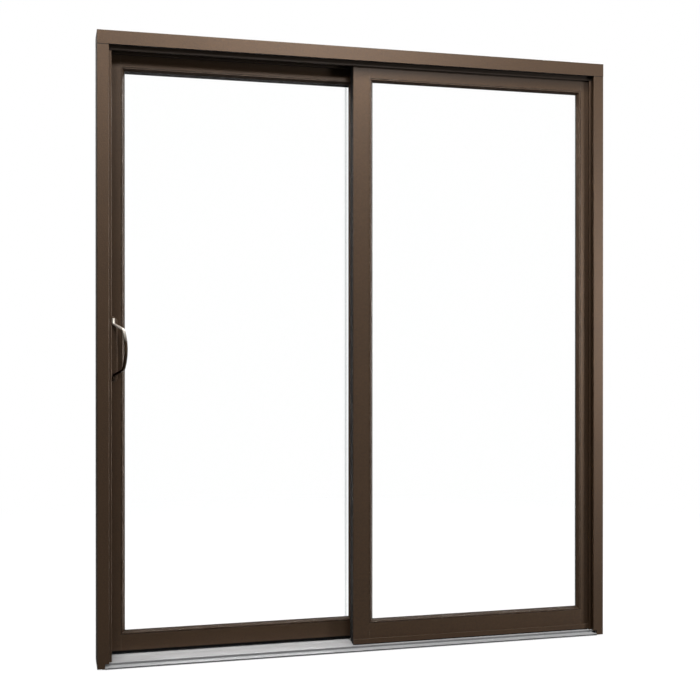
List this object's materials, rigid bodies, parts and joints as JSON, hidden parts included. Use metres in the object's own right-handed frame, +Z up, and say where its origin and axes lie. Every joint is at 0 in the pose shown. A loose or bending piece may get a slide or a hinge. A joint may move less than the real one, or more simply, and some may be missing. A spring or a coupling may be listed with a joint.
{
  "type": "sliding patio door",
  "caption": "Two-panel gliding patio door in its frame: a sliding panel with a bow pull closes beside a fixed panel over a sloped aluminium sill.",
  "frame": {"origin": "on the underside of the sill, centred in the width and in the depth of the frame", "axes": "+Z up, +X to the right seen from outside, +Y from the outer face into the room"},
  "size_m": [1.81, 0.1713, 2.092],
  "materials": {
    "bronze_cladding": "dark bronze, fine satin",
    "bronze_aluminium": "dark bronze paint, satin",
    "interior_white": "white, satin",
    "sill_aluminium": "mill finish, brushed along its length",
    "stainless": "brushed",
    "glass": "clear",
    "spacer": "dull grey",
    "dark_hardware": "rubbed dark bronze",
    "rubber": "matt",
    "roller_nylon": "moulded"
  },
  "bodies": {
    "frame": {"sill": "sill_aluminium", "roller_track": "stainless", "interior_threshold": "interior_white", "head_cladding": "bronze_cladding", "head_guide": "bronze_cladding", "head_liner": "interior_white", "left_jamb_cladding": "bronze_cladding", "left_jamb_liner": "interior_white", "right_jamb_cladding": "bronze_cladding", "right_jamb_liner": "interior_white", "fixed_panel_retainer": "bronze_cladding", "fixed_left_stile": "bronze_cladding", "fixed_right_stile": "bronze_cladding", "fixed_bottom_rail": "bronze_cladding", "fixed_top_rail": "bronze_cladding", "fixed_outer_pane": "glass", "fixed_inner_pane": "glass", "fixed_glass_spacer": "spacer", "fixed_left_glazing_stop": "interior_white", "fixed_right_glazing_stop": "interior_white", "fixed_bottom_glazing_stop": "interior_white", "fixed_top_glazing_stop": "interior_white", "fixed_interlock": "bronze_aluminium", "lock_keeper": "stainless", "travel_stop": "rubber"},
    "sliding_panel": {"sliding_left_stile": "bronze_cladding", "sliding_right_stile": "bronze_cladding", "sliding_bottom_rail": "bronze_cladding", "sliding_top_rail": "bronze_cladding", "sliding_outer_pane": "glass", "sliding_inner_pane": "glass", "sliding_glass_spacer": "spacer", "sliding_left_glazing_stop": "interior_white", "sliding_right_glazing_stop": "interior_white", "sliding_bottom_glazing_stop": "interior_white", "sliding_top_glazing_stop": "interior_white", "sliding_interlock": "bronze_aluminium", "exterior_pull": "dark_hardware", "interior_pull": "dark_hardware", "thumb_turn": "dark_hardware", "lock_plate": "stainless", "roller_wheels": "roller_nylon", "roller_housings": "stainless"}
  },
  "joints": [
    {"name": "panel_slide", "type": "slide", "parent": "frame", "child": "sliding_panel", "axis": [1, 0, 0], "range_m": [0, 0.76]}
  ]
}
